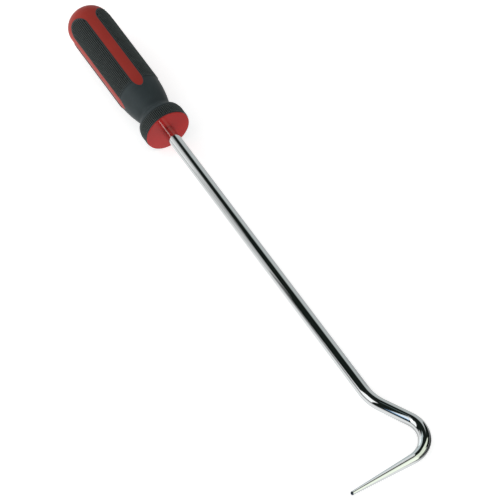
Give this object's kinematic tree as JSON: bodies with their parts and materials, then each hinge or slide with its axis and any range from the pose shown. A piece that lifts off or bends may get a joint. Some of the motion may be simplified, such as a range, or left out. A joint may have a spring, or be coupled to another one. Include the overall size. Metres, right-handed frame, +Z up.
{
  "type": "windscreen seal hook",
  "caption": "Long steel hook tool with an offset bend and tapered point, in a hard and soft moulded screwdriver-style handle.",
  "frame": {"origin": "on the floor, under the centre of the bounding box of the tool as it lies", "axes": "+Z up from the floor, +X along the rod from the handle towards the hook"},
  "size_m": [0.4168, 0.0636, 0.0337],
  "materials": {
    "chromed_steel": "polished",
    "red_plastic": "satin gloss",
    "soft_grip": "fine texture on the fingers, smooth elsewhere"
  },
  "bodies": {
    "root": {"hook_shank": "chromed_steel", "handle_core": "red_plastic", "soft_grip": "soft_grip"}
  },
  "joints": []
}
